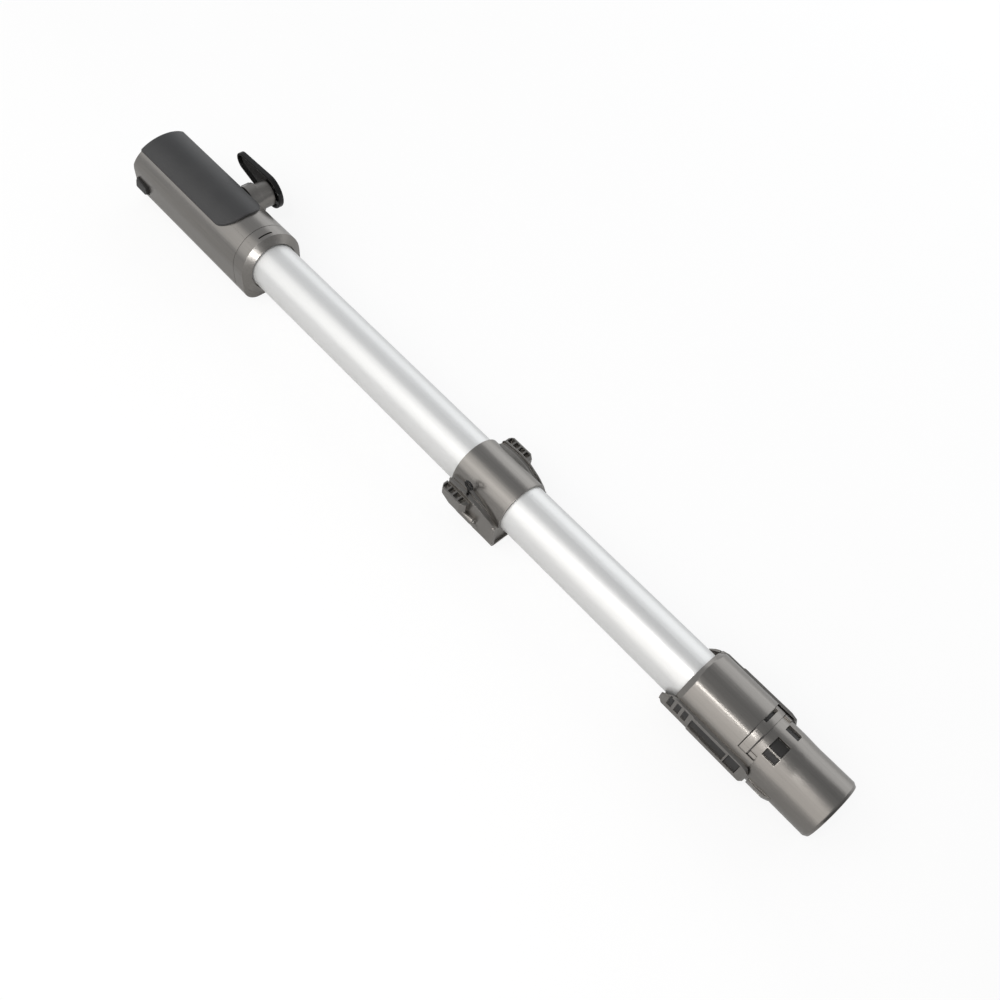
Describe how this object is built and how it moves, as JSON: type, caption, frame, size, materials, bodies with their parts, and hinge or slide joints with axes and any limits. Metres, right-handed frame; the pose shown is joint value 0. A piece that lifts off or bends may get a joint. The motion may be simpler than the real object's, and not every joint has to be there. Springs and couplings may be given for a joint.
{
  "type": "vacuum extension wand",
  "caption": "Aluminium extension wand for an upright vacuum cleaner: socket with cord hook and release buttons, tool clip at the middle, spigot at the other end",
  "frame": {"origin": "on the wand's axis, at the plane of the upper socket's mouth", "axes": "+X runs along the wand to the spigot, +Z is the side with the soft panel, +Y is the side with the cord hook; the wand lies on its flat back"},
  "size_m": [0.6486, 0.0718, 0.0505],
  "materials": {
    "aluminium": "satin",
    "shell": "satin metallic lacquer",
    "soft_panel": "matte",
    "dark": "matte",
    "hook": "gloss",
    "seal": "matte",
    "steel": "plated"
  },
  "bodies": {
    "wand": {"wand_tube": "aluminium", "socket_housing": "shell", "socket_cuff": "shell", "cuff_clip": "steel", "grip_panel": "soft_panel", "socket_seal": "seal", "tube_screws": "steel", "button_pin_left": "steel", "button_pin_right": "steel", "button_spring_left": "steel", "button_spring_right": "steel", "hook_screw": "steel", "hook_washer": "steel", "hook_stop": "seal", "clip_shell": "shell", "clip_saddle": "shell", "clip_screws": "steel", "tool_post_left": "shell", "tool_post_right": "shell", "clip_loop": "hook", "lower_collar": "shell", "collar_screws": "steel", "tool_rail_left": "shell", "tool_rail_right": "shell", "spigot": "shell"},
    "hook": {"cord_hook": "hook"},
    "button_left": {"release_button_left": "dark"},
    "button_right": {"release_button_right": "dark"}
  },
  "joints": [
    {"name": "hook_turn", "type": "hinge", "parent": "wand", "child": "hook", "pos_m": [0.0855, 0.0389, 0.0088], "axis": [0, 1, 0], "range_deg": [0, 180]},
    {"name": "button_left_press", "type": "hinge", "parent": "wand", "child": "button_left", "pos_m": [0.0096, -0.0235, -0.0104], "axis": [1, 0, 0], "range_deg": [0, 16], "stiffness_Nm_per_rad": 0.03, "springref_deg": -11.46, "deforming": ["button_spring_left"]},
    {"name": "button_right_press", "type": "hinge", "parent": "wand", "child": "button_right", "pos_m": [0.0096, 0.0235, -0.0104], "axis": [-1, 0, 0], "range_deg": [0, 16], "stiffness_Nm_per_rad": 0.03, "springref_deg": -11.46, "deforming": ["button_spring_right"]}
  ]
}
